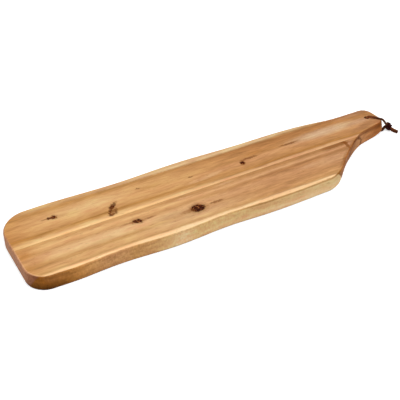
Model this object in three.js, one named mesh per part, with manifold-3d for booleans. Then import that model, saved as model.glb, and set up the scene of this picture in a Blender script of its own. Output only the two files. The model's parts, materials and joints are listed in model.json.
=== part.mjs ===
// Serving board: a paddle of two edge-glued acacia staves, with a knotted leather hanging lace.
// Millimetres, +Z up. The board lies on its underside, blunt end towards -X, handle towards +X.

import * as THREE from 'three';
import { mergeVertices } from 'three/addons/utils/BufferGeometryUtils.js';
import Module from 'manifold-3d';

// Blank: both staves together. Stations run from the blunt end along the glue line.
const BOARD_LENGTH = 516;
const BOARD_THICKNESS = 20;
const EDGE_ROUND = 2.5;
const GLUE_LINE = 0.2;

// Front stave: mean width at the blunt end, flare per mm of length, and the wave of its edge
const FRONT_STAVE_WIDTH = 54.6;
const FRONT_FLARE = 0.0135;
const FRONT_WAVE_HEIGHT = 1.5;
const FRONT_WAVE_PITCH = 137;
const FRONT_FIRST_HOLLOW = 100;
const FRONT_CORNER_RADIUS = 25;

// Back stave: mean width and the slower wave of its edge
const BACK_STAVE_WIDTH = 62;
const BACK_WAVE_HEIGHT = 1.3;
const BACK_WAVE_PITCH = 175;
const BACK_FIRST_HOLLOW = 145;
const BACK_CORNER_RADIUS = 35.5;

// Neck: from the front shoulder across the glue line. A pull is the length of a curve's tangent.
const SHOULDER_FROM_TIP = 145.4;
const SHOULDER_PULL = 15.7;
const NECK_FROM_TIP = 103.8;
const NECK_BEFORE_GLUE_LINE = 36.3;
const NECK_ANGLE = THREE.MathUtils.degToRad(43.2);
const NECK_PULL_TO_SHOULDER = 17;
const NECK_PULL_TO_HANDLE = 26.5;

// Handle: offset to the back stave, with a step in the back edge and a rounded tip whose end leans
const HANDLE_FROM_TIP = 38;
const HANDLE_FRONT_BEHIND_GLUE_LINE = 6.2;
const HANDLE_FRONT_ANGLE = THREE.MathUtils.degToRad(11.8);
const HANDLE_PULL = 20;
const HANDLE_BACK_BEHIND_GLUE_LINE = 51.8;
const BACK_STEP_FROM_TIP = 189.3;
const BACK_STEP_PULL = 108;
const HANDLE_STEP_FROM_TIP = 47;
const HANDLE_STEP_PULL = 40;
const TIP_FRONT_RADIUS = 12.5;
const TIP_BACK_RADIUS = 13.7;
const TIP_LEAN = THREE.MathUtils.degToRad(5);

// Underside of the tip rises in an arc, so that fingers and the lace get under it
const TIP_RELIEF_RUN = 30;
const TIP_RELIEF_RISE = 7.8;

// Lace hole: its mouths are rounded over, and the lower one is sunk to take the lace
const HOLE_FROM_TIP = 18;
const HOLE_RADIUS = 3.2;
const TOP_MOUTH_ROUND = 1.5;
const UNDER_MOUTH_ROUND = 3.4;
const UNDER_MOUTH_SUNK = 2.4;

// Lace: flat leather, doubled through the hole and tied in one overhand knot
const LACE_WIDTH = 3.2;
const LACE_THICKNESS = 1.5;
const LACE_CORNER = 0.45;
const KNOT_RADIUS = 2.3;
const KNOT_STRETCH = 1.7;
const KNOT_CENTRE = new THREE.Vector3(29.2, -15.2, 4.45);
const KNOT_ANGLE = THREE.MathUtils.degToRad(-58);

// Lace route from the knot under the tip, up the hole, over the tip and down to the knot again.
// X and Y run from the hole's axis. Z runs from the underside, and from the top face over the tip.
const LACE_UNDER_TIP = [
  [26.3, -12.0, 4.4], [25.0, -11.4, 4.15], [22.9, -11.9, 3.4], [19.8, -13.0, 2.1], [13.4, -10.2, 0.95],
  [8.0, -6.4, 0.95], [5.0, -4.1, 0.95], [3.5, -2.85, 1.2], [2.35, -1.8, 2.15], [1.5, -1.1, 3.9],
  [1.0, -0.65, 6.5], [0.4, -0.3, 10.0],
];
const LACE_OVER_TIP = [
  [0.2, -0.1, -6.0], [0.8, -0.35, -3.0], [1.5, -0.8, -0.7], [2.5, -1.4, 0.95], [3.9, -2.2, 1.6],
  [5.6, -3.6, 1.5], [8.6, -7.0, 1.45], [11.6, -11.0, 1.45], [13.6, -13.7, 1.2], [15.3, -15.8, -0.2],
  [17.2, -16.9, -2.8], [20.4, -16.4, -6.0], [23.0, -14.9, -8.6], [24.8, -13.2, -10.6], [26.0, -12.0, -11.8],
];
const LOWER_TAIL = [[30.5, -17.7, 1.5], [31.8, -21.6, 1.05], [33.2, -25.2, 1.0], [33.9, -28.2, 1.0]];
const UPPER_TAIL = [[31.2, -18.4, 3.4], [32.6, -21.8, 3.05], [34.4, -24.9, 2.9], [35.5, -27.5, 2.85]];

// Facet counts and the reach of cutting tools past the faces they cut
const WAVE_STEP = 8;
const CURVE_SEGMENTS = 9;
const ROUND_SEGMENTS = 4;
const HOLE_SIDES = 24;
const MOUTH_SEGMENTS = 5;
const LOOP_STEPS = 64;
const TAIL_STEPS = 6;
const KNOT_STEPS = 60;
const LACE_SIDES = 8;
const CUT_MARGIN = 5;

const wasm = await Module();
wasm.setup();

const acacia = new THREE.MeshStandardMaterial({ color: 0xc99a62, roughness: 0.55, metalness: 0 });
const leather = new THREE.MeshStandardMaterial({ color: 0x4a2412, roughness: 0.6, metalness: 0 });

// A closed geometry as a solid that can be cut
function solid(geometry) {
  const plain = geometry.index ? geometry.toNonIndexed() : geometry.clone();
  plain.deleteAttribute('normal');
  plain.deleteAttribute('uv');
  const welded = mergeVertices(plain, 1e-4);
  const corners = welded.index.array;
  const triangles = [];
  for (let i = 0; i < corners.length; i += 3) {
    const [a, b, c] = corners.slice(i, i + 3);
    if (a !== b && b !== c && c !== a) triangles.push(a, b, c);
  }
  const vertProperties = new Float32Array(welded.attributes.position.array);
  return new wasm.Manifold(new wasm.Mesh({ numProp: 3, vertProperties, triVerts: new Uint32Array(triangles) }));
}

// A cut solid as a geometry again
function geometryOf(manifold) {
  const mesh = manifold.getMesh();
  const geometry = new THREE.BufferGeometry();
  geometry.setAttribute('position', new THREE.BufferAttribute(mesh.vertProperties, 3));
  geometry.setIndex(new THREE.BufferAttribute(mesh.triVerts, 1));
  geometry.computeVertexNormals();
  return geometry;
}

function named(name, geometry, material) {
  const mesh = new THREE.Mesh(geometry, material);
  mesh.name = name;
  return mesh;
}

// Waved long edges, as offsets from the glue line at a station
function frontEdge(station) {
  const wave = Math.cos(2 * Math.PI * (station - FRONT_FIRST_HOLLOW) / FRONT_WAVE_PITCH);
  return -(FRONT_STAVE_WIDTH + FRONT_FLARE * station) + FRONT_WAVE_HEIGHT * wave;
}

function backEdge(station) {
  const wave = Math.cos(2 * Math.PI * (station - BACK_FIRST_HOLLOW) / BACK_WAVE_PITCH);
  return BACK_STAVE_WIDTH - BACK_WAVE_HEIGHT * wave;
}

// Outline runs to points along a waved edge, from one station to another
function followEdge(outline, edge, from, to) {
  const steps = Math.max(1, Math.round(Math.abs(to - from) / WAVE_STEP));
  for (let i = 1; i <= steps; i += 1) {
    const station = THREE.MathUtils.lerp(from, to, i / steps);
    outline.lineTo(station, edge(station));
  }
}

// Point at a distance from another, at an angle from +X
function pulled(point, distance, angle) {
  return new THREE.Vector2(point.x + distance * Math.cos(angle), point.y + distance * Math.sin(angle));
}

function curveTo(outline, firstPull, secondPull, end) {
  outline.bezierCurveTo(firstPull.x, firstPull.y, secondPull.x, secondPull.y, end.x, end.y);
}

// Angle of a waved edge at a station, in the direction of the handle
function edgeAngle(edge, station) {
  const reach = 1;
  return Math.atan2(edge(station + reach) - edge(station - reach), 2 * reach);
}

const handleStart = new THREE.Vector2(BOARD_LENGTH - HANDLE_FROM_TIP, HANDLE_FRONT_BEHIND_GLUE_LINE);
const holeStation = BOARD_LENGTH - HOLE_FROM_TIP;
const handleFrontAtHole = handleStart.y + (holeStation - handleStart.x) * Math.tan(HANDLE_FRONT_ANGLE);
const holeOffset = (handleFrontAtHole + HANDLE_BACK_BEHIND_GLUE_LINE) / 2;

// Plan of the whole board, anticlockwise from the blunt end's front corner
function boardOutline() {
  const outline = new THREE.Shape();
  const frontCornerY = frontEdge(FRONT_CORNER_RADIUS) + FRONT_CORNER_RADIUS;
  outline.moveTo(0, frontCornerY);
  outline.absarc(FRONT_CORNER_RADIUS, frontCornerY, FRONT_CORNER_RADIUS, Math.PI, 1.5 * Math.PI);

  const shoulder = new THREE.Vector2(BOARD_LENGTH - SHOULDER_FROM_TIP, 0);
  shoulder.y = frontEdge(shoulder.x);
  followEdge(outline, frontEdge, FRONT_CORNER_RADIUS, shoulder.x);

  const neck = new THREE.Vector2(BOARD_LENGTH - NECK_FROM_TIP, -NECK_BEFORE_GLUE_LINE);
  const shoulderAngle = edgeAngle(frontEdge, shoulder.x);
  curveTo(outline, pulled(shoulder, SHOULDER_PULL, shoulderAngle),
    pulled(neck, -NECK_PULL_TO_SHOULDER, NECK_ANGLE), neck);
  curveTo(outline, pulled(neck, NECK_PULL_TO_HANDLE, NECK_ANGLE),
    pulled(handleStart, -HANDLE_PULL, HANDLE_FRONT_ANGLE), handleStart);

  // The tip's front corner is tangent to the leaning front edge and reaches the board's full length
  const frontX = BOARD_LENGTH - TIP_FRONT_RADIUS;
  const rise = (frontX - handleStart.x) * Math.sin(HANDLE_FRONT_ANGLE);
  const frontY = handleStart.y + (TIP_FRONT_RADIUS + rise) / Math.cos(HANDLE_FRONT_ANGLE);
  outline.absarc(frontX, frontY, TIP_FRONT_RADIUS, HANDLE_FRONT_ANGLE - 0.5 * Math.PI, TIP_LEAN);

  // The back corner is tangent to the leaning end and to the back edge
  const backY = HANDLE_BACK_BEHIND_GLUE_LINE - TIP_BACK_RADIUS;
  const inward = TIP_FRONT_RADIUS - TIP_BACK_RADIUS - (backY - frontY) * Math.sin(TIP_LEAN);
  const backX = frontX + inward / Math.cos(TIP_LEAN);
  outline.absarc(backX, backY, TIP_BACK_RADIUS, TIP_LEAN, 0.5 * Math.PI);

  const stepEnd = new THREE.Vector2(BOARD_LENGTH - HANDLE_STEP_FROM_TIP, HANDLE_BACK_BEHIND_GLUE_LINE);
  const stepStart = new THREE.Vector2(BOARD_LENGTH - BACK_STEP_FROM_TIP, 0);
  stepStart.y = backEdge(stepStart.x);
  outline.lineTo(stepEnd.x, stepEnd.y);
  const stepAngle = edgeAngle(backEdge, stepStart.x);
  curveTo(outline, pulled(stepEnd, -HANDLE_STEP_PULL, 0), pulled(stepStart, BACK_STEP_PULL, stepAngle), stepStart);
  followEdge(outline, backEdge, stepStart.x, BACK_CORNER_RADIUS);

  const backCornerY = backEdge(BACK_CORNER_RADIUS) - BACK_CORNER_RADIUS;
  outline.absarc(BACK_CORNER_RADIUS, backCornerY, BACK_CORNER_RADIUS, 0.5 * Math.PI, Math.PI);
  outline.closePath();
  return outline;
}

// Board with its edges rounded over, before the tip is relieved and the hole is bored
function boardBlank() {
  const blank = new THREE.ExtrudeGeometry(boardOutline(), {
    depth: BOARD_THICKNESS - 2 * EDGE_ROUND,
    bevelThickness: EDGE_ROUND,
    bevelSize: EDGE_ROUND,
    bevelOffset: -EDGE_ROUND,
    bevelSegments: ROUND_SEGMENTS,
    curveSegments: CURVE_SEGMENTS,
  });
  blank.translate(0, 0, EDGE_ROUND);
  return solid(blank);
}

// Everything on one side of the glue line: side is 1 at the back and -1 at the front
function halfSpace(side) {
  const reach = BOARD_LENGTH + 2 * CUT_MARGIN;
  const half = new THREE.BoxGeometry(reach, reach, BOARD_THICKNESS + 2 * CUT_MARGIN);
  half.translate(BOARD_LENGTH / 2, side * (reach + GLUE_LINE) / 2, BOARD_THICKNESS / 2);
  return solid(half);
}

// Wood taken from under the tip, below an arc that leaves the underside level
function tipRelief() {
  const arcRadius = (TIP_RELIEF_RUN ** 2 + TIP_RELIEF_RISE ** 2) / (2 * TIP_RELIEF_RISE);
  const start = BOARD_LENGTH - TIP_RELIEF_RUN;
  const end = Math.asin((TIP_RELIEF_RUN + CUT_MARGIN) / arcRadius);
  const profile = new THREE.Shape();
  profile.moveTo(start, -CUT_MARGIN);
  profile.lineTo(BOARD_LENGTH + CUT_MARGIN, -CUT_MARGIN);
  profile.absarc(start, arcRadius, arcRadius, end - 0.5 * Math.PI, -0.5 * Math.PI, true);
  profile.closePath();
  const width = HANDLE_BACK_BEHIND_GLUE_LINE + 2 * CUT_MARGIN;
  const relief = new THREE.ExtrudeGeometry(profile, {
    depth: width,
    bevelEnabled: false,
    curveSegments: CURVE_SEGMENTS,
  });
  relief.rotateX(0.5 * Math.PI);
  relief.translate(0, width - CUT_MARGIN, 0);
  return solid(relief);
}

// Hole for the lace with both mouths rounded over
function laceHole() {
  const profile = new THREE.Path();
  const topMouth = BOARD_THICKNESS - TOP_MOUTH_ROUND;
  const underMouth = UNDER_MOUTH_SUNK + UNDER_MOUTH_ROUND;
  profile.moveTo(0, -CUT_MARGIN);
  profile.lineTo(HOLE_RADIUS + UNDER_MOUTH_ROUND, -CUT_MARGIN);
  profile.absarc(HOLE_RADIUS + UNDER_MOUTH_ROUND, underMouth, UNDER_MOUTH_ROUND, 1.5 * Math.PI, Math.PI, true);
  profile.absarc(HOLE_RADIUS + TOP_MOUTH_ROUND, topMouth, TOP_MOUTH_ROUND, Math.PI, 0.5 * Math.PI, true);
  profile.lineTo(HOLE_RADIUS + TOP_MOUTH_ROUND, BOARD_THICKNESS + CUT_MARGIN);
  profile.lineTo(0, BOARD_THICKNESS + CUT_MARGIN);
  const hole = new THREE.LatheGeometry(profile.getPoints(MOUTH_SEGMENTS), HOLE_SIDES);
  hole.rotateX(0.5 * Math.PI);
  hole.translate(holeStation, holeOffset, 0);
  return solid(hole);
}

// Flat section of the lace: thickness along X, width along Y
function laceSection() {
  const thick = LACE_THICKNESS / 2;
  const wide = LACE_WIDTH / 2;
  const corners = [
    [thick - LACE_CORNER, -wide], [thick, LACE_CORNER - wide], [thick, wide - LACE_CORNER],
    [thick - LACE_CORNER, wide], [LACE_CORNER - thick, wide], [-thick, wide - LACE_CORNER],
    [-thick, LACE_CORNER - wide], [LACE_CORNER - thick, -wide],
  ];
  return new THREE.Shape(corners.map(([x, y]) => new THREE.Vector2(x, y)));
}

function laceAlong(points, steps) {
  const route = new THREE.CatmullRomCurve3(points, false, 'centripetal');
  return new THREE.ExtrudeGeometry(laceSection(), { steps, extrudePath: route, bevelEnabled: false });
}

function routePoints(points, height) {
  return points.map(([x, y, z]) => new THREE.Vector3(x, y, z + height));
}

// Overhand knot: the lace as a trefoil, drawn out along the direction in which it was pulled tight
function laceKnot() {
  const knot = new THREE.TorusKnotGeometry(KNOT_RADIUS, LACE_THICKNESS / 2, KNOT_STEPS, LACE_SIDES, 2, 3);
  knot.scale(1, 1, KNOT_STRETCH);
  knot.rotateY(0.5 * Math.PI);
  knot.rotateZ(KNOT_ANGLE);
  knot.translate(KNOT_CENTRE.x, KNOT_CENTRE.y, KNOT_CENTRE.z);
  return geometryOf(solid(knot));
}

const blank = boardBlank();
const backHalf = blank.intersect(halfSpace(1)).subtract(tipRelief()).subtract(laceHole());
const frontHalf = blank.intersect(halfSpace(-1));

const board = new THREE.Group();
board.add(named('back_stave', geometryOf(backHalf), acacia));
board.add(named('front_stave', geometryOf(frontHalf), acacia));

const loopRoute = [...routePoints(LACE_UNDER_TIP, 0), ...routePoints(LACE_OVER_TIP, BOARD_THICKNESS)];
const lace = new THREE.Group();
lace.add(named('lace_loop', laceAlong(loopRoute, LOOP_STEPS), leather));
lace.add(named('lace_knot', laceKnot(), leather));
lace.add(named('lace_lower_tail', laceAlong(routePoints(LOWER_TAIL, 0), TAIL_STEPS), leather));
lace.add(named('lace_upper_tail', laceAlong(routePoints(UPPER_TAIL, 0), TAIL_STEPS), leather));
lace.position.set(holeStation, holeOffset, 0);

// The origin is under the middle of the board's own box
const box = new THREE.Box3().setFromObject(board);
const servingBoard = new THREE.Group();
servingBoard.add(board, lace);
servingBoard.position.set(-(box.min.x + box.max.x) / 2, -(box.min.y + box.max.y) / 2, 0);

export default servingBoard;
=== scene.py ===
import json
import math

import bpy
import numpy as np
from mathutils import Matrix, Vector

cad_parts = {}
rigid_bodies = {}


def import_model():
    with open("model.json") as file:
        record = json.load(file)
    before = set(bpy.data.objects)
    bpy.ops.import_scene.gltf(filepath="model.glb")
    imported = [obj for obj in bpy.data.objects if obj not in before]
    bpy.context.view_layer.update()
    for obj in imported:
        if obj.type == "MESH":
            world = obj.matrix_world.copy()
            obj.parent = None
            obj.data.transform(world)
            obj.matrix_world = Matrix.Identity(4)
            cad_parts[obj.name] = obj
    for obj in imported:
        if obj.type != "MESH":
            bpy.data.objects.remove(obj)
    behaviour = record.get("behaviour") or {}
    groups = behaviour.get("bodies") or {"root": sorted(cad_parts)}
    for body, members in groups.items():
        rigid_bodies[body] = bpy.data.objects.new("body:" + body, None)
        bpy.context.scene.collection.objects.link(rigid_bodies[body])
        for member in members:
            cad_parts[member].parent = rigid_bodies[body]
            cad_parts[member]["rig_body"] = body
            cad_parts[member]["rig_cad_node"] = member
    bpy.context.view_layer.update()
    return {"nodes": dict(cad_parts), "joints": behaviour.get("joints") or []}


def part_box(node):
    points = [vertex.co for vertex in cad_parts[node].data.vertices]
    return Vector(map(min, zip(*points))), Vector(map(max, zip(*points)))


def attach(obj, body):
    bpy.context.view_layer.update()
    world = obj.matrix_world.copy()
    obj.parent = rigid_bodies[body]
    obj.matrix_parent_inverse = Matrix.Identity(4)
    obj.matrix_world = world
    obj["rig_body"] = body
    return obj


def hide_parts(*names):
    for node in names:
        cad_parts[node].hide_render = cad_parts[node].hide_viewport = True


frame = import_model()

# Camera
# A short telephoto looks down on the board from its front left corner.
# The blunt end is nearest and the handle points away to the upper right.
looks_down = 36.937
turned_right = 29.494
bpy.ops.object.camera_add(location=(-0.41200, -0.67652, 0.58699))
camera = bpy.context.object
camera.name = "camera"
camera.data.sensor_width = 36
camera.data.lens = 73.95
camera.rotation_euler = (math.radians(90 - looks_down), 0, math.radians(-turned_right))
bpy.context.scene.camera = camera

# Back stave
# The wider of two acacia boards, planed flat and glued edge to edge with the other.
# The handle is sawn from it, its edges are rounded over, and it is sanded and oiled.
board_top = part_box("back_stave")[1].z
back_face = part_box("back_stave")[0].y
front_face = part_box("front_stave")[1].y
glue_line = (back_face + front_face) / 2
glue_film = 0.00002
hole_place = Vector(frame["joints"][0]["pos_m"][:2])
hole_radius = 0.0032
hole_lean = 0.0013


def linear(code):
    channels = [int(code[i:i + 2], 16) / 255 for i in (1, 3, 5)]
    return [c / 12.92 if c <= 0.04045 else ((c + 0.055) / 1.055) ** 2.4 for c in channels] + [1]


def add_node(tree, kind, inputs=None, **settings):
    node = tree.nodes.new(kind)
    for name, value in settings.items():
        setattr(node, name, value)
    for name, value in (inputs or {}).items():
        if isinstance(value, bpy.types.NodeSocket):
            tree.links.new(value, node.inputs[name])
        else:
            node.inputs[name].default_value = value
    return node


# A copy of a sawn stave as one welded skin, its glue face closed up to the film of glue
def dressed_stave(name, glue_face, film_face):
    same_spot = 1e-6
    flat_enough = math.radians(0.3)
    on_the_face = 2e-5
    bpy.ops.object.select_all(action="DESELECT")
    rough = frame["nodes"][name]
    rough.select_set(True)
    bpy.context.view_layer.objects.active = rough
    bpy.ops.object.duplicate()
    stave = bpy.context.object
    stave.name = name + "_dressed"
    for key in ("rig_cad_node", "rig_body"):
        del stave[key]
    stave.parent = None
    stave.data.materials.clear()
    bpy.ops.object.mode_set(mode="EDIT")
    bpy.ops.mesh.select_all(action="SELECT")
    bpy.ops.mesh.customdata_custom_splitnormals_clear()
    bpy.ops.mesh.remove_doubles(threshold=same_spot)
    bpy.ops.mesh.dissolve_limited(angle_limit=flat_enough)
    bpy.ops.object.mode_set(mode="OBJECT")
    for vertex in stave.data.vertices:
        if abs(vertex.co.y - glue_face) < on_the_face:
            vertex.co.y = film_face
    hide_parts(name)
    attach(stave, "board")
    return stave


# Sanding leaves the rounded edges smooth and the flat faces flat
def sand(stave):
    sharpest_rounding = math.radians(32)
    bpy.ops.object.select_all(action="DESELECT")
    stave.select_set(True)
    bpy.context.view_layer.objects.active = stave
    bpy.ops.object.shade_smooth_by_angle(angle=sharpest_rounding)
    bpy.ops.object.modifier_add(type="WEIGHTED_NORMAL")
    stave.modifiers[-1].keep_sharp = True
    bpy.ops.object.modifier_apply(modifier=stave.modifiers[-1].name)


# Acacia, sawn, sanded and oiled: warm and satin, with hardly any shine. Growth layers are bands of
# colour from the glue line outwards, listed once for the blunt end and once for the handle, and the
# sides have tones of their own along the length. Patches are paler or darker wood with soft edges,
# given by place, half length, half width, turn, strength and colour. Knots are ragged and speckled,
# given by place, half sizes, turn, and the strengths of their heart and their rim.
# Places and sizes are in millimetres and turns in degrees.
def acacia(name, seed, tilt, blunt_bands, handle_bands, side_bands, patches, knots):
    material = bpy.data.materials.new(name)
    material.use_nodes = True
    tree = material.node_tree
    tree.nodes.clear()
    coordinates = add_node(tree, "ShaderNodeTexCoord")
    here = coordinates.outputs["Object"]
    along, across, up = add_node(tree, "ShaderNodeSeparateXYZ", {0: here}).outputs
    facing = add_node(tree, "ShaderNodeSeparateXYZ", {0: coordinates.outputs["Normal"]}).outputs
    middle_grey = (0.5, 0.5, 0.5)

    # Long waves, 9 cm by 4 cm, carry every layer a millimetre or two to and fro
    wave_size = (91, 38.5, 45.5)
    wave_drift = (0, 0.006, 0)
    waves = add_node(tree, "ShaderNodeVectorMath", {0: here, 1: [1000 / s for s in wave_size]},
                     operation="MULTIPLY").outputs[0]
    waves = add_node(tree, "ShaderNodeTexNoise", {"Vector": waves, "W": seed, "Scale": 1, "Detail": 3},
                     noise_dimensions="4D").outputs[1]
    waves = add_node(tree, "ShaderNodeVectorMath", {0: waves, 1: middle_grey},
                     operation="SUBTRACT").outputs[0]
    grain = add_node(tree, "ShaderNodeVectorMath", {0: waves, 1: wave_drift, 2: here},
                     operation="MULTIPLY_ADD").outputs[0]

    # Ragged edges for knots and patches, in steps of 3 mm
    ragged_step = 2.94
    ragged_drift = (0.006, 0.0045, 0.004)
    ragged = add_node(tree, "ShaderNodeTexNoise",
                      {"Vector": here, "Scale": 1000 / ragged_step, "Detail": 3}).outputs[1]
    ragged = add_node(tree, "ShaderNodeVectorMath", {0: ragged, 1: middle_grey},
                      operation="SUBTRACT").outputs[0]
    ragged = add_node(tree, "ShaderNodeVectorMath", {0: ragged, 1: ragged_drift, 2: here},
                      operation="MULTIPLY_ADD").outputs[0]

    # How far each knot reaches, and the grain that bows round the ones whose heart is nearly all bark.
    # A knot fills this share of the length and of the width of its bow.
    bow_filled = (0.3, 0.4)
    bark_heart = 0.9
    bow_pull = 0.6
    bow_depth = 0.0167
    marks = []
    for place, half, turn, heart, rim in knots:
        place = [p / 1000 for p in place]
        half = [h / 1000 for h in half]
        spot = add_node(tree, "ShaderNodeMapping",
                        {"Vector": ragged, "Location": place, "Rotation": (0, 0, math.radians(turn)),
                         "Scale": half}, vector_type="TEXTURE").outputs[0]
        marks.append(add_node(tree, "ShaderNodeVectorMath", {0: spot}, operation="LENGTH").outputs[1])
        if heart > bark_heart:
            bow_size = (half[0] / bow_filled[0], half[1] / bow_filled[1], bow_depth)
            offset = add_node(tree, "ShaderNodeVectorMath", {0: here, 1: place},
                              operation="SUBTRACT").outputs[0]
            share = add_node(tree, "ShaderNodeVectorMath", {0: offset, 1: [1 / s for s in bow_size]},
                             operation="MULTIPLY").outputs[0]
            share = add_node(tree, "ShaderNodeVectorMath", {0: share}, operation="LENGTH").outputs[1]
            share = add_node(tree, "ShaderNodeMapRange", {0: share, 1: 1, 2: 0, 3: 0, 4: -bow_pull},
                             interpolation_type="SMOOTHSTEP").outputs[0]
            bow = add_node(tree, "ShaderNodeCombineXYZ", {1: share}).outputs[0]
            grain = add_node(tree, "ShaderNodeVectorMath", {0: offset, 1: bow, 2: grain},
                             operation="MULTIPLY_ADD").outputs[0]

    # Layers lean with depth, so the underside and the ends show other layers than the top.
    # The tones of the blunt end give way to those of the handle over the middle of the board.
    depth = add_node(tree, "ShaderNodeMath", {0: board_top, 1: up}, operation="SUBTRACT").outputs[0]
    layer = add_node(tree, "ShaderNodeSeparateXYZ", {0: grain}).outputs[1]
    layer = add_node(tree, "ShaderNodeMath", {0: depth, 1: tilt, 2: layer},
                     operation="MULTIPLY_ADD").outputs[0]
    sawn_bands = [(100, "#9e612a"), (185, "#9d5f29"), (206, "#cb9162"), (228, "#c0804e"),
                  (243, "#b06b37"), (260, "#9e5d28")]
    blunt_until = -0.13
    handle_from = 0.09
    tones = []
    for bands, place in ((blunt_bands, layer), (handle_bands, layer),
                         (side_bands, along), (sawn_bands, along)):
        low = bands[0][0]
        high = bands[-1][0]
        share = add_node(tree, "ShaderNodeMapRange", {0: place, 1: low / 1000, 2: high / 1000}).outputs[0]
        ramp = add_node(tree, "ShaderNodeValToRGB", {0: share})
        while len(ramp.color_ramp.elements) < len(bands):
            ramp.color_ramp.elements.new(0.5)
        for element, (at, code) in zip(ramp.color_ramp.elements, bands):
            element.position = (at - low) / (high - low)
            element.color = linear(code)
        tones.append(ramp.outputs[0])
    blunt_tones, handle_tones, side_tones, sawn_tones = tones
    ahead = add_node(tree, "ShaderNodeMapRange", {0: along, 1: blunt_until, 2: handle_from},
                     interpolation_type="SMOOTHSTEP").outputs[0]
    colour = add_node(tree, "ShaderNodeMix", {0: ahead, 6: blunt_tones, 7: handle_tones},
                      data_type="RGBA").outputs[2]

    # Patches fade out from near their middle to a third past their half size, through the whole thickness
    patch_full = 0.1
    patch_ends = 1.3
    for x, y, length, width, turn, strength, code in patches:
        spot = add_node(tree, "ShaderNodeMapping",
                        {"Vector": ragged, "Location": (x / 1000, y / 1000, board_top),
                         "Rotation": (0, 0, math.radians(turn)),
                         "Scale": (length / 1000, width / 1000, board_top)}, vector_type="TEXTURE").outputs[0]
        reach = add_node(tree, "ShaderNodeVectorMath", {0: spot}, operation="LENGTH").outputs[1]
        share = add_node(tree, "ShaderNodeMapRange",
                         {0: reach, 1: patch_ends, 2: patch_full, 3: 0, 4: strength},
                         interpolation_type="SMOOTHSTEP").outputs[0]
        colour = add_node(tree, "ShaderNodeMix", {0: share, 6: colour, 7: linear(code)},
                          data_type="RGBA").outputs[2]

    # Sides, but not the wall of the hole, whose top mouth lies nearer the tip than its foot.
    # The neck and the handle are sawn through the brown heartwood, inside the last layer of sapwood.
    sapwood_lean = -0.55
    sapwood_edge = -0.0567
    heartwood_edge = -0.0557
    sawn_starts = -0.02
    sawn_full = 0.13
    mouth_shift = 0.0012
    mouth_edge = hole_radius + 0.0009
    mouth_clear = hole_radius + 0.0013
    rounding_starts = 0.96
    rounding_ends = 0.68
    side_strength = 0.92
    leaning = add_node(tree, "ShaderNodeMath", {0: depth, 1: sapwood_lean, 2: across},
                       operation="MULTIPLY_ADD").outputs[0]
    sawn = add_node(tree, "ShaderNodeMapRange", {0: leaning, 1: sapwood_edge, 2: heartwood_edge}).outputs[0]
    beyond = add_node(tree, "ShaderNodeMapRange", {0: along, 1: sawn_starts, 2: sawn_full, 3: 0, 4: sawn},
                      interpolation_type="SMOOTHSTEP").outputs[0]
    tone = add_node(tree, "ShaderNodeMix", {0: beyond, 6: side_tones, 7: sawn_tones},
                    data_type="RGBA").outputs[2]
    level = add_node(tree, "ShaderNodeMath", {0: facing[2]}, operation="ABSOLUTE").outputs[0]
    axis = add_node(tree, "ShaderNodeVectorMath",
                    {0: here, 1: (1, 1, 0), 2: (-hole_place.x - mouth_shift, -hole_place.y, 0)},
                    operation="MULTIPLY_ADD").outputs[0]
    axis = add_node(tree, "ShaderNodeVectorMath", {0: axis}, operation="LENGTH").outputs[1]
    side = add_node(tree, "ShaderNodeMapRange",
                    {0: axis, 1: mouth_edge, 2: mouth_clear, 3: 0, 4: side_strength}).outputs[0]
    side = add_node(tree, "ShaderNodeMapRange",
                    {0: level, 1: rounding_starts, 2: rounding_ends, 3: 0, 4: side},
                    interpolation_type="SMOOTHSTEP").outputs[0]
    colour = add_node(tree, "ShaderNodeMix", {0: side, 6: colour, 7: tone}, data_type="RGBA").outputs[2]

    # End grain at the blunt end, pinker, up to a sharp line that leans with the layers,
    # and darker near that line
    end_line = -0.0532
    end_full = -0.0518
    end_strength = 0.85
    end_turns = -0.3
    end_faces = -0.55
    end_dark_to = -0.050
    end_pale_from = -0.034
    end_dark = "#84513c"
    end_pale = "#c78d6b"
    reach = add_node(tree, "ShaderNodeMapRange",
                     {0: leaning, 1: end_line, 2: end_full, 3: 0, 4: end_strength}).outputs[0]
    blunt = add_node(tree, "ShaderNodeMapRange", {0: facing[0], 1: end_turns, 2: end_faces, 3: 0, 4: reach},
                     interpolation_type="SMOOTHSTEP").outputs[0]
    inward = add_node(tree, "ShaderNodeMapRange", {0: across, 1: end_dark_to, 2: end_pale_from}).outputs[0]
    tone = add_node(tree, "ShaderNodeMix", {0: inward, 6: linear(end_dark), 7: linear(end_pale)},
                    data_type="RGBA").outputs[2]
    colour = add_node(tree, "ShaderNodeMix", {0: blunt, 6: colour, 7: tone}, data_type="RGBA").outputs[2]

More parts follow.
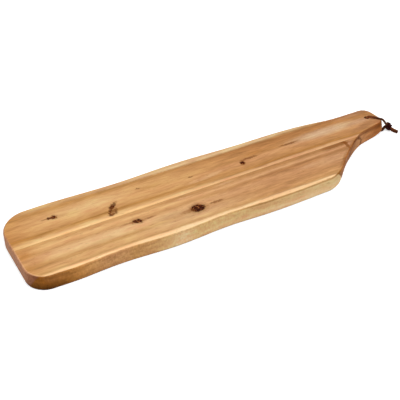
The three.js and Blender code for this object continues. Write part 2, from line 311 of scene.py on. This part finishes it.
    # Painted highlight and painted shade along the edges, and one darker band. Each has a strength, the
    # limits between which it comes in from none to full, its way of blending and its colour. Two strengths,
    # and the height at which the dark edge of the handle fades, change along the board.
    front_edge = (across, -0.050, -0.053)
    under = add_node(tree, "ShaderNodeMapRange", {0: along, 1: -0.03, 2: 0, 3: 0.5, 4: 0.75}).outputs[0]
    foot_shadow = add_node(tree, "ShaderNodeMapRange", {0: along, 1: 0, 2: 0.06, 3: 0.45, 4: 0.25}).outputs[0]
    fades = add_node(tree, "ShaderNodeMapRange",
                     {0: along, 1: 0.218, 2: 0.242, 3: 0.0155, 4: 0.0095}).outputs[0]
    shades = [
        # A painted highlight, in a pale wood colour, on the rounded top edge of the blunt end
        (0.5, [(facing[2], 0.99, 0.95), (facing[2], 0.6, 0.85), (facing[0], -0.1, -0.25),
               (across, 0.02, -0.01)], "MIX", "#eab88a"),
        # Painted shade on the rounded front edge of the handle, a thin dark line with darker grain in it
        (0.68, [(facing[2], 0.998, 0.90), (up, fades, 0.0172), (along, 0.183, 0.200),
                (across, 0.022, 0.018), (facing[1], -0.2, -0.5)], "MIX", "#663411"),
        # Darker on the rounding under the pale front edge
        (under, [(facing[2], 0.93, 0.75), (facing[2], -0.05, 0.3), front_edge, (along, -0.17, -0.10)],
         "MIX", "#9a6a34"),
        # Painted shade dulls the upper half of the front side a little, more towards the neck
        (side, [(up, 0.006, 0.012), (along, -0.20, 0.02), front_edge], "MULTIPLY", "#efeadd"),
        # Painted shadow darkens the lowest edge all round, where it sits on the table
        (foot_shadow, [(up, 0.0035, 0.0005)], "MIX", "#6b4524"),
        # Painted shadow makes the foot of the front corner at the blunt end darkest
        (0.85, [(along, -0.213, -0.242), (up, 0.011, 0.0015), (across, -0.030, -0.048)], "MIX", "#3a2006")]
    for strength, limits, blend, code in shades:
        for place, start, full in limits:
            strength = add_node(tree, "ShaderNodeMapRange",
                                {0: place, 1: start, 2: full, 3: 0, 4: strength}).outputs[0]
        colour = add_node(tree, "ShaderNodeMix", {0: strength, 6: colour, 7: linear(code)},
                          data_type="RGBA", blend_type=blend).outputs[2]

    # Upright sanding marks on the sides, drawn 2 mm apart so that they show
    sanding_size = (2.083, 2.083, 3.333)
    sanding_dark = 0.3
    sanding_light = 0.7
    blunt_sanding = 0.22
    neck_sanding = 0.09
    sanded = add_node(tree, "ShaderNodeVectorMath", {0: here, 1: [1000 / s for s in sanding_size]},
                      operation="MULTIPLY").outputs[0]
    sanded = add_node(tree, "ShaderNodeTexNoise", {"Vector": sanded, "W": seed, "Scale": 1, "Detail": 2},
                      noise_dimensions="4D").outputs[0]
    sanded = add_node(tree, "ShaderNodeMapRange", {0: sanded, 1: sanding_dark, 2: sanding_light}).outputs[0]
    share = add_node(tree, "ShaderNodeMapRange",
                     {0: along, 1: -0.06, 2: 0.05, 3: blunt_sanding, 4: neck_sanding}).outputs[0]
    share = add_node(tree, "ShaderNodeMath", {0: side, 1: share}, operation="MULTIPLY").outputs[0]
    colour = add_node(tree, "ShaderNodeMix", {0: share, 6: colour, 7: sanded}, data_type="RGBA",
                      blend_type="OVERLAY").outputs[2]

    # Inside the drilled hole the wood is darkened with painted shade
    bore_edge = hole_radius + 0.0004
    bore_full = hole_radius - 0.0001
    bore_strength = 0.9
    hole_shade_brown = "#3a1a0a"
    bore = add_node(tree, "ShaderNodeMapRange",
                    {0: axis, 1: bore_edge, 2: bore_full, 3: 0, 4: bore_strength}).outputs[0]
    colour = add_node(tree, "ShaderNodeMix", {0: bore, 6: colour, 7: linear(hole_shade_brown)},
                      data_type="RGBA").outputs[2]

    # Clouds 15 mm wide, streaks 3 mm wide, and fibres drawn 2 mm wide so that they show,
    # all three to seven times as long. Pores are drawn 0.8 mm wide and 7 mm long so that they show.
    cloud_size = (38.5, 14.3, 16.7)
    streak_size = (25, 3.33, 4.55)
    fibre_size = (11.76, 1.786, 2.38)
    pore_size = (6.667, 0.8333, 0.8333)
    fibre_dark = 0.28
    fibre_light = 0.72
    pore_starts = 0.64
    pore_full = 0.74
    pore_strength = 0.42
    pore_brown = "#8a5424"
    for size, strength in ((cloud_size, 0.12), (streak_size, 0.16), (fibre_size, 0.15)):
        streak = add_node(tree, "ShaderNodeVectorMath", {0: grain, 1: [1000 / s for s in size]},
                          operation="MULTIPLY").outputs[0]
        streak = add_node(tree, "ShaderNodeTexNoise",
                          {"Vector": streak, "W": seed, "Scale": 1, "Detail": 3},
                          noise_dimensions="4D").outputs[0]
        streak = add_node(tree, "ShaderNodeMapRange", {0: streak, 1: fibre_dark, 2: fibre_light}).outputs[0]
        colour = add_node(tree, "ShaderNodeMix", {0: strength, 6: colour, 7: streak}, data_type="RGBA",
                          blend_type="OVERLAY").outputs[2]
    pores = add_node(tree, "ShaderNodeVectorMath", {0: grain, 1: [1000 / s for s in pore_size]},
                     operation="MULTIPLY").outputs[0]
    pores = add_node(tree, "ShaderNodeTexNoise", {"Vector": pores, "W": seed, "Scale": 1, "Detail": 1},
                     noise_dimensions="4D").outputs[0]
    pores = add_node(tree, "ShaderNodeMapRange",
                     {0: pores, 1: pore_starts, 2: pore_full, 3: 0, 4: pore_strength}).outputs[0]
    colour = add_node(tree, "ShaderNodeMix", {0: pores, 6: colour, 7: linear(pore_brown)},
                      data_type="RGBA").outputs[2]

    # One growth ring, cut across, shows as a thin brown arch on the sawn side of the neck.
    # Its width is a share of its half size.
    arch_place = (0.194, -0.002, 0.006)
    arch_half = (0.018, 0.040, 0.0125)
    arch_width = 0.18
    arch_strength = 0.75
    arch_brown = "#5c2f0a"
    arch = add_node(tree, "ShaderNodeMapping", {"Vector": ragged, "Location": arch_place, "Scale": arch_half},
                    vector_type="TEXTURE").outputs[0]
    arch = add_node(tree, "ShaderNodeVectorMath", {0: arch}, operation="LENGTH").outputs[1]
    arch = add_node(tree, "ShaderNodeMath", {0: arch, 1: 1}, operation="SUBTRACT").outputs[0]
    arch = add_node(tree, "ShaderNodeMath", {0: arch}, operation="ABSOLUTE").outputs[0]
    share = add_node(tree, "ShaderNodeMapRange", {0: arch, 1: arch_width, 2: 0, 3: 0, 4: arch_strength},
                     interpolation_type="SMOOTHSTEP").outputs[0]
    share = add_node(tree, "ShaderNodeMapRange", {0: level, 1: 0.92, 2: 0.7, 3: 0, 4: share}).outputs[0]
    colour = add_node(tree, "ShaderNodeMix", {0: share, 6: colour, 7: linear(arch_brown)},
                      data_type="RGBA").outputs[2]

    # Knots have a brown rim and a heart of bark with specks of 2 mm
    speck_size = 2.326
    rim_ends = 1.8
    rim_full = 0.95
    heart_ends = 1.15
    heart_full = 0.85
    rim_brown = "#8f5426"
    speckle = add_node(tree, "ShaderNodeTexNoise",
                       {"Vector": here, "Scale": 1000 / speck_size, "Detail": 2}).outputs[0]
    bark = add_node(tree, "ShaderNodeValToRGB", {0: speckle})
    bark.color_ramp.elements.new(0.5)
    bark_tones = [(0.5, "#2c0600"), (0.6, "#5c1e00"), (0.72, "#b47440")]
    for element, (at, code) in zip(bark.color_ramp.elements, bark_tones):
        element.position = at
        element.color = linear(code)
    for reach, (place, half, turn, heart, rim) in zip(marks, knots):
        share = add_node(tree, "ShaderNodeMapRange", {0: reach, 1: rim_ends, 2: rim_full, 3: 0, 4: rim},
                         interpolation_type="SMOOTHSTEP").outputs[0]
        colour = add_node(tree, "ShaderNodeMix", {0: share, 6: colour, 7: linear(rim_brown)},
                          data_type="RGBA").outputs[2]
        share = add_node(tree, "ShaderNodeMapRange",
                         {0: reach, 1: heart_ends, 2: heart_full, 3: 0, 4: heart}).outputs[0]
        colour = add_node(tree, "ShaderNodeMix", {0: share, 6: colour, 7: bark.outputs[0]},
                          data_type="RGBA").outputs[2]

    # Fibres stand a little proud, and pores are sunk
    height = add_node(tree, "ShaderNodeMath", {0: streak, 1: pores}, operation="SUBTRACT").outputs[0]
    bump = add_node(tree, "ShaderNodeBump", {"Strength": 0.15, "Distance": 0.0002, "Height": height})
    shader = add_node(tree, "ShaderNodeBsdfPrincipled",
                      {"Base Color": colour, "Roughness": 0.5, "IOR": 1.45, "Specular IOR Level": 0.02,
                       "Normal": bump.outputs[0]})
    add_node(tree, "ShaderNodeOutputMaterial", {0: shader.outputs[0]})
    return material


back_stave = dressed_stave("back_stave", back_face, glue_line + glue_film / 2)

# The hole leans towards the tip as it rises, with a tight rounding at its top,
# and the end of the handle leans out below and back at its top edge
hole_reach = 0.0048
lean_heights = (0.006, 0.016)
mouth_foot = 0.018
mouth_tightness = 0.55
tip_start = (0.246, 0.256)
tip_heights = (0, 0.0155, board_top)
tip_leans = (0.0034, 0.0008, -0.0014)
for vertex in back_stave.data.vertices:
    away = vertex.co.xy - hole_place
    if away.length < hole_reach:
        if away.length > hole_radius and vertex.co.z > mouth_foot:
            away *= (hole_radius + (away.length - hole_radius) * mouth_tightness) / away.length
            vertex.co.xy = hole_place + away
            vertex.co.z = board_top - (board_top - vertex.co.z) * mouth_tightness
        vertex.co.x += float(np.interp(vertex.co.z, lean_heights, (0, hole_lean)))
    else:
        near_tip = float(np.interp(vertex.co.x, tip_start, (0, 1)))
        vertex.co.x += near_tip * float(np.interp(vertex.co.z, tip_heights, tip_leans))
sand(back_stave)

# Pale at the glue line, brown beside it, golden in the middle and paler again at the back edge
back_seed = 3.1
back_tilt = 0.35
back_blunt_bands = [
    (-6, "#fbd092"), (1, "#f9cc90"), (4, "#e4b67d"), (7, "#d3a065"), (9.5, "#c28d52"), (11, "#b47d41"),
    (13, "#c9945b"), (18, "#d29d65"), (24, "#dda96f"), (30, "#dba86f"), (36, "#d7a36b"), (42, "#d5a168"),
    (46, "#cb965d"), (50, "#c08a50"), (53, "#c38f5a"), (57, "#d5a870"), (64, "#d9ae78")]
back_handle_bands = [
    (-6, "#e4b181"), (0, "#e0ac7b"), (2, "#d4a06f"), (3.5, "#b98354"), (5, "#b07a42"), (8, "#bd8753"),
    (14, "#c68f5c"), (19, "#cd9665"), (23, "#cd9564"), (28, "#c08852"), (34, "#c08854"), (40, "#bb824f"),
    (44, "#b47c4a"), (47, "#ab7446"), (50, "#b98a57"), (53, "#d9b484"), (64, "#e0bc8c")]
back_side_bands = [
    (-260, "#cf965d"), (0, "#dda86e"), (120, "#cf9a62"), (190, "#c98a58"), (258, "#c98a58")]
back_patches = [
    (-160, 33, 55, 12, 0, 0.5, "#e8be8a"), (172, 29, 62, 9, 0, 0.85, "#dfbf99"),
    (238, 20, 34, 18, 0, 0.5, "#b17f57"), (222, 14, 26, 6.5, 12, 0.75, "#a8754e"),
    (228, 27, 22, 5, 0, 0.6, "#d2a583"), (228, 45, 34, 6, 0, 0.6, "#ad8160"),
    (248, 13, 9, 7, 0, 0.6, "#b0704a"), (-70, 54.5, 90, 4, 0, 0.6, "#e8c292"),
    (20, 53.5, 90, 4, 0, 0.6, "#e8c292"), (-262, 25, 36, 55, 0, 0.5, "#be7d3c"),
    (-5, 16.5, 27, 3.6, 8, 0.75, "#deb07e"), (-80, 31.4, 19, 4.5, 0, 0.6, "#c08a50"),
    (-178, 29.6, 13, 4, 0, 0.5, "#d2a062"), (66.8, 32.5, 15, 4.5, 0, 0.75, "#b37a45"),
    (-28, 15, 12, 2.8, 8, 0.55, "#e4b582"), (-197, 9.4, 13, 3, 0, 0.5, "#dcaa6c"),
    (-133, 1.5, 11, 2.6, 0, 0.5, "#dcae76"), (-192, 31.1, 9, 3.4, 0, 0.45, "#c4925a")]
back_knots = [
    ((-198.4, 32.4, 20), (3.2, 3.3, 6), 0, 0.97, 0.4), ((-203.5, 33, 20), (3.4, 1.9, 5), 0, 0.88, 0.3),
    ((-208, 32.9, 20), (5, 0.8, 4), 0, 0.25, 0.3), ((-134.7, 16.8, 20), (3.4, 2.9, 6), 55, 0.97, 0.4),
    ((-131.3, 20.4, 20), (5.6, 2.1, 6), 41, 0.62, 0.4), ((-139.4, 10.6, 20), (6.5, 1.6, 6), 55, 0.72, 0.3),
    ((-140.5, 4.6, 20), (3.6, 1.8, 5), 0, 0.8, 0.3), ((-133, 9.5, 20), (5.5, 1.2, 5), 65, 0.35, 0.2),
    ((-136.5, 9, 20), (4.5, 4, 5), 55, 0.3, 0.35), ((41.8, 20.2, 20), (3.9, 2.5, 6), 60, 0.97, 0.7),
    ((55.5, 25.2, 20), (10.5, 1.5, 5), 0, 0.35, 0.45), ((114.5, 27.8, 20), (11, 1.4, 5), 0, 0.42, 0.5),
    ((-93, 35.1, 20), (2.4, 1, 4), 0, 0.55, 0.3), ((-28, 25.2, 20), (3, 1, 4), 0, 0.5, 0.3)]
back_stave.data.materials.append(acacia("oiled_acacia_back", back_seed, back_tilt, back_blunt_bands,
                                        back_handle_bands, back_side_bands, back_patches, back_knots))

# Front stave
# The narrower acacia board, glued to the other along the middle of the blunt end and cut away at the neck.
# Its outer edge keeps a strip of pale sapwood, which comes down its side from the middle onwards.
front_stave = dressed_stave("front_stave", front_face, glue_line - glue_film / 2)

# The outer edge is sanded a little hollow near the blunt end and past its middle,
# and the neck is undercut towards its foot
hollow_places = (-0.256, -0.232, -0.200, 0.010, 0.040, 0.062, 0.090)
hollow_depths = (0, 0.0012, 0, 0, 0.0010, 0.0010, 0)
hollow_reach = (-0.050, -0.035)
neck_places = (0.138, 0.146, 0.166, 0.182)
neck_depths = (0, 0.0009, 0.0012, 0)
neck_heights = (0, 0.016)
neck_edge = -0.006
for vertex in front_stave.data.vertices:
    hollow = np.interp(vertex.co.x, hollow_places, hollow_depths)
    vertex.co.y += float(hollow * np.interp(vertex.co.y, hollow_reach, (1, 0)))
    if vertex.co.y < neck_edge:
        neck = np.interp(vertex.co.x, neck_places, neck_depths)
        vertex.co.y += float(neck * np.interp(vertex.co.z, neck_heights, (1, 0)))
sand(front_stave)

# Pale sapwood outside a thin brown line, then golden heartwood that browns towards the neck
front_seed = 7.4
front_tilt = 0.4
front_blunt_bands = [
    (-66, "#fad49c"), (-53.2, "#f8c993"), (-51.2, "#cb9d66"), (-47, "#d7a56e"), (-42, "#d6a46e"),
    (-38, "#c99860"), (-34, "#d2a16a"), (-30, "#e3b37e"), (-24, "#dfaf7d"), (-20, "#d5a26e"),
    (-18, "#cc9a66"), (-15, "#d5a06a"), (-11, "#e4b27a"), (-8, "#d6a36c"), (-5, "#cf9b65"), (-1, "#cf9c62")]
front_handle_bands = [
    (-66, "#f5cd96"), (-55.2, "#f4ca98"), (-53.4, "#bf8f60"), (-50, "#c9945f"), (-46, "#cb9664"),
    (-42, "#c38e5d"), (-36, "#c58f60"), (-30, "#c69062"), (-25, "#c89264"), (-20, "#bd8759"),
    (-16.5, "#ae794d"), (-14.5, "#bb8658"), (-12, "#d4a071"), (-9.5, "#c99566"), (-6, "#b78354"),
    (-1, "#b5814f")]
# Along the front side the dark brown at the blunt end is partly heartwood and partly painted shade on the
# front corner
front_side_bands = [
    (-260, "#8c5216"), (-249, "#8a5014"), (-241, "#80480f"), (-231, "#8a5116"), (-219, "#9c6123"),
    (-207, "#b67a3b"), (-187, "#c68c54"), (-165, "#cb9461"), (-151, "#d29c66"), (-141, "#c99358"),
    (-124, "#d5a067"), (-112, "#dfae74"), (-101, "#edc388"), (-84, "#fedaa8"), (-66, "#f2c88c"),
    (43, "#f8cd98"), (85, "#ffdaa6"), (258, "#ffdaa6")]
front_patches = [
    (-160, -27, 55, 9, 0, 0.45, "#e8c08e"), (150, -27, 45, 10, 0, 0.5, "#d2a47a"),
    (-140, -37, 45, 2.2, 0, 0.5, "#bb8a54"), (-262, -28, 36, 50, 0, 0.5, "#be7d3c"),
    (-75, -57, 95, 4.5, 0, 0.7, "#f8dcae"), (-60, -42, 75, 10, 0, 0.5, "#e0b88a"),
    (184, -9, 10, 8, 60, 0.65, "#bd8866"), (129, -53.6, 13, 1.7, 0, 0.8, "#b98a58"),
    (157, -33.8, 27, 3.6, 40, 0.85, "#9b653c"), (187, -10.2, 15, 3.2, 34, 0.7, "#a46d42"),
    (-82, -29.5, 26, 6, 0, 0.75, "#c2966a"), (-166, -31.6, 15, 3.5, 0, 0.6, "#cc9f6c"),
    (2, -5.6, 16, 2.4, 0, 0.5, "#dcae80"), (-63, -39.5, 13, 4, 0, 0.5, "#c2966a"),
    (108, -25.5, 16, 4, 0, 0.5, "#d6a87c"), (-55, -7.7, 14, 2.2, 0, 0.5, "#e4b886"),
    (123, -50.3, 12, 2.4, 0, 0.55, "#b98a58"), (-250, -14, 10, 7, 0, 0.5, "#b9783a")]
front_knots = [
    ((-120.3, -20, 20), (6.4, 3.4, 6), -9, 0.97, 0.45), ((-105, -20.6, 20), (5.5, 1.2, 5), 0, 0.3, 0.35),
    ((-132, -19, 20), (7, 1.0, 5), 0, 0.12, 0.25), ((-50.2, -32.1, 20), (8.8, 6.4, 7), 0, 0.97, 0.5),
    ((-63, -32.6, 20), (7, 2.2, 5), 0, 0.1, 0.4), ((-25, -31.6, 20), (8, 1.4, 5), 0, 0.35, 0.45),
    ((164, -4.6, 20), (16, 2.8, 5), 0, 0.12, 0.5), ((176, -3.2, 20), (4.5, 1.8, 5), -45, 0.15, 0.75),
    ((177.8, -9, 20), (6.5, 1.6, 5), 84, 0.15, 0.75)]
front_stave.data.materials.append(acacia("oiled_acacia_front", front_seed, front_tilt, front_blunt_bands,
                                         front_handle_bands, front_side_bands, front_patches, front_knots))

# Lace
# One strip of flat leather lace, waxed dark brown and narrower where it is pulled tight, with painted shade
# darkening it round the tip.
# It goes up through the hole, over the tip of the handle and round under it again, and nothing else holds it.
lace_route = np.array([
    (0.26900, 0.01520, 0.00500), (0.26770, 0.01720, 0.00500), (0.26620, 0.01820, 0.00470),
    (0.26450, 0.01820, 0.00400), (0.26260, 0.01770, 0.00280), (0.25980, 0.01670, 0.00160),
    (0.25340, 0.01936, 0.00095), (0.24800, 0.02316, 0.00095), (0.24500, 0.02546, 0.00095),
    (0.24350, 0.02671, 0.00120), (0.24235, 0.02776, 0.00215), (0.24150, 0.02846, 0.00390),
    (0.24100, 0.02891, 0.00650), (0.24030, 0.02935, 0.01000), (0.23980, 0.02970, 0.01400),
    (0.23995, 0.02965, 0.01700), (0.24050, 0.02930, 0.01920), (0.24160, 0.02870, 0.02075),
    (0.24330, 0.02780, 0.02150), (0.24560, 0.02596, 0.02150), (0.24860, 0.02256, 0.02145),
    (0.25160, 0.01856, 0.02140), (0.25330, 0.01690, 0.02125), (0.25520, 0.01530, 0.02060),
    (0.25760, 0.01400, 0.01820), (0.26050, 0.01320, 0.01400), (0.26240, 0.01360, 0.01200),
    (0.26450, 0.01480, 0.01020), (0.26660, 0.01640, 0.00920), (0.26870, 0.01750, 0.00910),
    (0.27020, 0.01680, 0.00760), (0.26970, 0.01500, 0.00560)])
route_steps = 6


# A smooth line through the points of a route, with no overshoot where they lie close together
def smooth_route(points, steps):
    reach = np.concatenate([[0], np.cumsum(np.linalg.norm(np.diff(points, axis=0), axis=1) ** 0.5)])
    padded = np.vstack([2 * points[0] - points[1], points, 2 * points[-1] - points[-2]])
    stops = np.concatenate([[2 * reach[0] - reach[1]], reach, [2 * reach[-1] - reach[-2]]])
    line = []
    for i in range(len(points) - 1):
        p = padded[i:i + 4]
        t = stops[i:i + 4]
        for x in np.linspace(t[1], t[2], steps, endpoint=False):
            a = [((t[k + 1] - x) * p[k] + (x - t[k]) * p[k + 1]) / (t[k + 1] - t[k]) for k in range(3)]
            b = [((t[k + 2] - x) * a[k] + (x - t[k]) * a[k + 1]) / (t[k + 2] - t[k]) for k in range(2)]
            line.append(((t[2] - x) * b[0] + (x - t[1]) * b[1]) / (t[2] - t[1]))
    return np.array(line + [points[-1]])


# A strip of leather with rounded corners along a line, its width lying in the flat directions
def leather_strip(name, line, flat, width, thickness):
    corner_share = 0.42
    corner = thickness * corner_share
    corner_steps = 4
    sharpest_bend = math.radians(50)
    along = np.gradient(line, axis=0)
    along /= np.linalg.norm(along, axis=1)[:, None]
    side = flat - along * np.sum(flat * along, axis=1)[:, None]
    side /= np.linalg.norm(side, axis=1)[:, None]
    face = np.cross(along, side)
    turns = [(sx, sy, a) for sx, sy, start in ((1, 1, 0), (-1, 1, 90), (-1, -1, 180), (1, -1, 270))
             for a in np.radians(np.linspace(start, start + 90, corner_steps))]
    rings = [[place + across * (sx * (wide / 2 - corner) + corner * math.cos(a))
              + upright * (sy * (thickness / 2 - corner) + corner * math.sin(a)) for sx, sy, a in turns]
             for place, across, upright, wide in zip(line, side, face, np.broadcast_to(width, len(line)))]
    count = len(turns)
    faces = []
    for ring in range(len(line) - 1):
        start = ring * count
        faces += [(start + i, start + (i + 1) % count, start + count + (i + 1) % count, start + count + i)
                  for i in range(count)]
    faces += [tuple(reversed(range(count))), tuple((len(line) - 1) * count + i for i in range(count))]
    mesh = bpy.data.meshes.new(name)
    mesh.from_pydata([tuple(p) for ring in rings for p in ring], [], faces)
    strip = bpy.data.objects.new(name, mesh)
    bpy.context.scene.collection.objects.link(strip)
    bpy.ops.object.select_all(action="DESELECT")
    strip.select_set(True)
    bpy.context.view_layer.objects.active = strip
    bpy.ops.object.mode_set(mode="EDIT")
    bpy.ops.mesh.select_all(action="SELECT")
    bpy.ops.mesh.normals_make_consistent(inside=False)
    bpy.ops.object.mode_set(mode="OBJECT")
    bpy.ops.object.shade_smooth_by_angle(angle=sharpest_bend)
    return strip


# Waxed leather, mottled brown and nearly matt, with a pebbled skin of half a millimetre.
# Towards the tip and past it, painted shade darkens it, by as much as the last argument says.
def waxed_leather(name, dark, light, shade_share=0):
    mottle_size = 3.846
    pebble_size = 0.4545
    shade_from = 0.2455
    shade_to = 0.2500
    lace_shade_brown = "#120302"
    material = bpy.data.materials.new(name)
    material.use_nodes = True
    tree = material.node_tree
    tree.nodes.clear()
    here = add_node(tree, "ShaderNodeTexCoord").outputs["Object"]
    cloud = add_node(tree, "ShaderNodeTexNoise",
                     {"Vector": here, "Scale": 1000 / mottle_size, "Detail": 4}).outputs[0]
    cloud = add_node(tree, "ShaderNodeMapRange", {0: cloud, 1: 0.3, 2: 0.7}).outputs[0]
    colour = add_node(tree, "ShaderNodeMix", {0: cloud, 6: linear(dark), 7: linear(light)},
                      data_type="RGBA").outputs[2]
    along = add_node(tree, "ShaderNodeSeparateXYZ", {0: here}).outputs[0]
    share = add_node(tree, "ShaderNodeMapRange",
                     {0: along, 1: shade_from, 2: shade_to, 3: 0, 4: shade_share}).outputs[0]
    colour = add_node(tree, "ShaderNodeMix", {0: share, 6: colour, 7: linear(lace_shade_brown)},
                      data_type="RGBA").outputs[2]
    pebble = add_node(tree, "ShaderNodeTexVoronoi",
                      {"Vector": here, "Scale": 1000 / pebble_size}).outputs["Distance"]
    bump = add_node(tree, "ShaderNodeBump", {"Strength": 0.25, "Distance": 0.0002, "Height": pebble})
    shader = add_node(tree, "ShaderNodeBsdfPrincipled",
                      {"Base Color": colour, "Roughness": 0.6, "IOR": 1.5, "Specular IOR Level": 0.06,
                       "Normal": bump.outputs[0]})
    add_node(tree, "ShaderNodeOutputMaterial", {0: shader.outputs[0]})
    return material


# Which way the strip lies flat and how wide it is, at shares of the way from the knot round to the knot
lie_at = (0, 0.08, 0.17, 0.7, 0.85, 1)
lie_along = (-0.3, -0.3, 0.6, 0.6, 0.75, 0.6)
lie_across = (0.77, 0.77, 0.8, 0.8, 0.4, 0.4)
lie_up = (0.56, 0.56, 0, 0, 0.45, 0.6)
width_at = (0, 0.1, 0.2, 0.5, 0.57, 0.64, 0.69, 0.8, 1)
lace_widths = (0.0038, 0.0038, 0.0033, 0.0034, 0.0043, 0.0041, 0.0031, 0.0037, 0.0036)
lace_thickness = 0.0016
lace_line = smooth_route(lace_route, route_steps)
share_of_way = np.linspace(0, 1, len(lace_line))
lace_lie = np.stack([np.interp(share_of_way, lie_at, way) for way in (lie_along, lie_across, lie_up)], axis=1)
lace_width = np.interp(share_of_way, width_at, lace_widths)
lace = leather_strip("lace_strap", lace_line, lace_lie, lace_width, lace_thickness)
# The strap carries painted shade where it goes round the tip of the handle
lace.data.materials.append(waxed_leather("waxed_leather_strap", "#4a1e0a", "#8a4c24", 0.6))
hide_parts("lace_loop")
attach(lace, "lace")

# Knot
# Both ends of the leather lace, tied together in one overhand knot and drawn up hard. Its leather is darkest
# here, partly from painted shade.
# It keeps the loop closed and lies on the table beside the tip, drawn as a trefoil stood on edge.
knot_place = (0.2684, 0.01476, 0.00570)
knot_size = 0.00153
knot_depth = 1.6
knot_width = 0.0029
knot_thickness = 0.0018
knot_steps = 90
roll = math.radians(48)
lean = math.radians(-58)
turn = np.linspace(0, 2 * math.pi, knot_steps)
reach = 2 + np.cos(3 * turn)
trefoil = np.stack([reach * np.cos(2 * turn + roll), reach * np.sin(2 * turn + roll),
                    knot_depth * np.sin(3 * turn)], axis=1) * knot_size
on_edge = np.array([[0, 0, 1], [0, 1, 0], [-1, 0, 0]])
leaned = np.array([[math.cos(lean), -math.sin(lean), 0], [math.sin(lean), math.cos(lean), 0], [0, 0, 1]])
trefoil = trefoil @ (leaned @ on_edge).T
knot = leather_strip("lace_overhand", trefoil + np.array(knot_place),
                     np.array((math.cos(lean), math.sin(lean), 0)), knot_width, knot_thickness)
# A darker copy of the lace's leather, partly painted shade
knot.data.materials.append(waxed_leather("waxed_leather_knot", "#1a0203", "#340a09"))
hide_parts("lace_knot")
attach(knot, "lace")

# Tails
# The two cut ends of the leather lace, left short past the knot that holds them.
# They lie one on the other, the lower one on the table.
tail_width = 0.0029
tail_thickness = 0.0015
tail_lie = np.array((0.92, 0.38, 0.0))
under_route = [(0.26960, 0.01420, 0.00280), (0.27060, 0.01150, 0.00160), (0.27180, 0.00796, 0.00090),
               (0.27320, 0.00436, 0.00085), (0.27345, 0.00250, 0.00085)]
over_route = [(0.26990, 0.01380, 0.00520), (0.27090, 0.01080, 0.00430), (0.27220, 0.00720, 0.00370),
              (0.27390, 0.00420, 0.00310), (0.27462, 0.00235, 0.00290)]
for name, node, route in (("lace_tail_under", "lace_lower_tail", under_route),
                          ("lace_tail_over", "lace_upper_tail", over_route)):
    tail_line = smooth_route(np.array(route), route_steps)
    tail = leather_strip(name, tail_line, tail_lie, tail_width, tail_thickness)
    tail.data.materials.append(waxed_leather("waxed_leather_" + name, "#341408", "#7a4420"))
    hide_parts(node)
    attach(tail, "lace")

# Floor and light
# A plain white table in a white room, which carries the board and its soft shadow.
# A wide soft box hangs over the front of the board, with panels of light at both sides and behind.
floor_drop = 0.0002
bpy.ops.mesh.primitive_plane_add(size=12, location=(0, 0, -floor_drop))
floor = bpy.context.object
floor.name = "floor"


# One where the eye meets a surface straight, mirrored or through glass, and none for light on its way
def in_sight(tree):
    rays = add_node(tree, "ShaderNodeLightPath").outputs
    seen = add_node(tree, "ShaderNodeMath", {0: rays["Is Camera Ray"], 1: rays["Is Glossy Ray"]}).outputs[0]
    return add_node(tree, "ShaderNodeMath", {0: seen, 1: rays["Is Transmission Ray"]},
                    use_clamp=True).outputs[0]


# Matt white paint. To the eye it keeps the soft shadow and is plain white everywhere else,
# and the light that it throws back on the board is that of a grey, so that the foot stays dark.
white_table = bpy.data.materials.new("white_table")
white_table.use_nodes = True
tree = white_table.node_tree
tree.nodes.clear()
glow_from = 0.7
glow_full = 1.6
glow_near = 0.5
grey = add_node(tree, "ShaderNodeBsdfDiffuse", {"Color": linear("#6e6e6e")})
matt = add_node(tree, "ShaderNodeBsdfDiffuse", {"Color": linear("#f2f2f2")})
distance = add_node(tree, "ShaderNodeVectorMath", {0: add_node(tree, "ShaderNodeTexCoord").outputs["Object"]},
                    operation="LENGTH").outputs[1]
distance = add_node(tree, "ShaderNodeMapRange",
                    {0: distance, 1: glow_from, 2: glow_full, 3: glow_near, 4: 1}).outputs[0]
glow = add_node(tree, "ShaderNodeEmission", {"Color": (1, 1, 1, 1), "Strength": distance})
both = add_node(tree, "ShaderNodeAddShader", {0: matt.outputs[0], 1: glow.outputs[0]})
mixed = add_node(tree, "ShaderNodeMixShader", {0: in_sight(tree), 1: grey.outputs[0], 2: both.outputs[0]})
add_node(tree, "ShaderNodeOutputMaterial", {0: mixed.outputs[0]})
floor.data.materials.append(white_table)

# White walls, plain white to the eye, that throw more light from the front of the board than from behind
world = bpy.data.worlds.new("white_room")
bpy.context.scene.world = world
world.use_nodes = True
tree = world.node_tree
tree.nodes.clear()
front_light = 0.3
back_light = 0.06
way = add_node(tree, "ShaderNodeSeparateXYZ",
               {0: add_node(tree, "ShaderNodeTexCoord").outputs["Generated"]}).outputs[1]
way = add_node(tree, "ShaderNodeMapRange",
               {0: way, 1: -0.6, 2: 0.4, 3: front_light, 4: back_light}).outputs[0]
room = add_node(tree, "ShaderNodeBackground", {"Color": (1, 1, 1, 1), "Strength": way})
white = add_node(tree, "ShaderNodeBackground", {"Color": (1, 1, 1, 1), "Strength": 1})
mixed = add_node(tree, "ShaderNodeMixShader", {0: in_sight(tree), 1: room.outputs[0], 2: white.outputs[0]})
add_node(tree, "ShaderNodeOutputWorld", {0: mixed.outputs[0]})

for name, place, size, energy in (("soft_box", (-0.05, -0.45, 1.5), 1.4, 17.9),
                                  ("left_panel", (-1.5, -0.9, 0.7), 1.2, 14),
                                  ("right_panel", (1.3, -1.1, 0.5), 1.2, 12.5),
                                  ("back_panel", (0.1, 1.5, 0.3), 1.0, 6)):
    bpy.ops.object.light_add(type="AREA", location=place)
    lamp = bpy.context.object
    lamp.name = name
    lamp.data.size = size
    lamp.data.energy = energy
    lamp.rotation_euler = Vector(place).to_track_quat("Z", "Y").to_euler()

bpy.context.scene.view_settings.view_transform = "Standard"
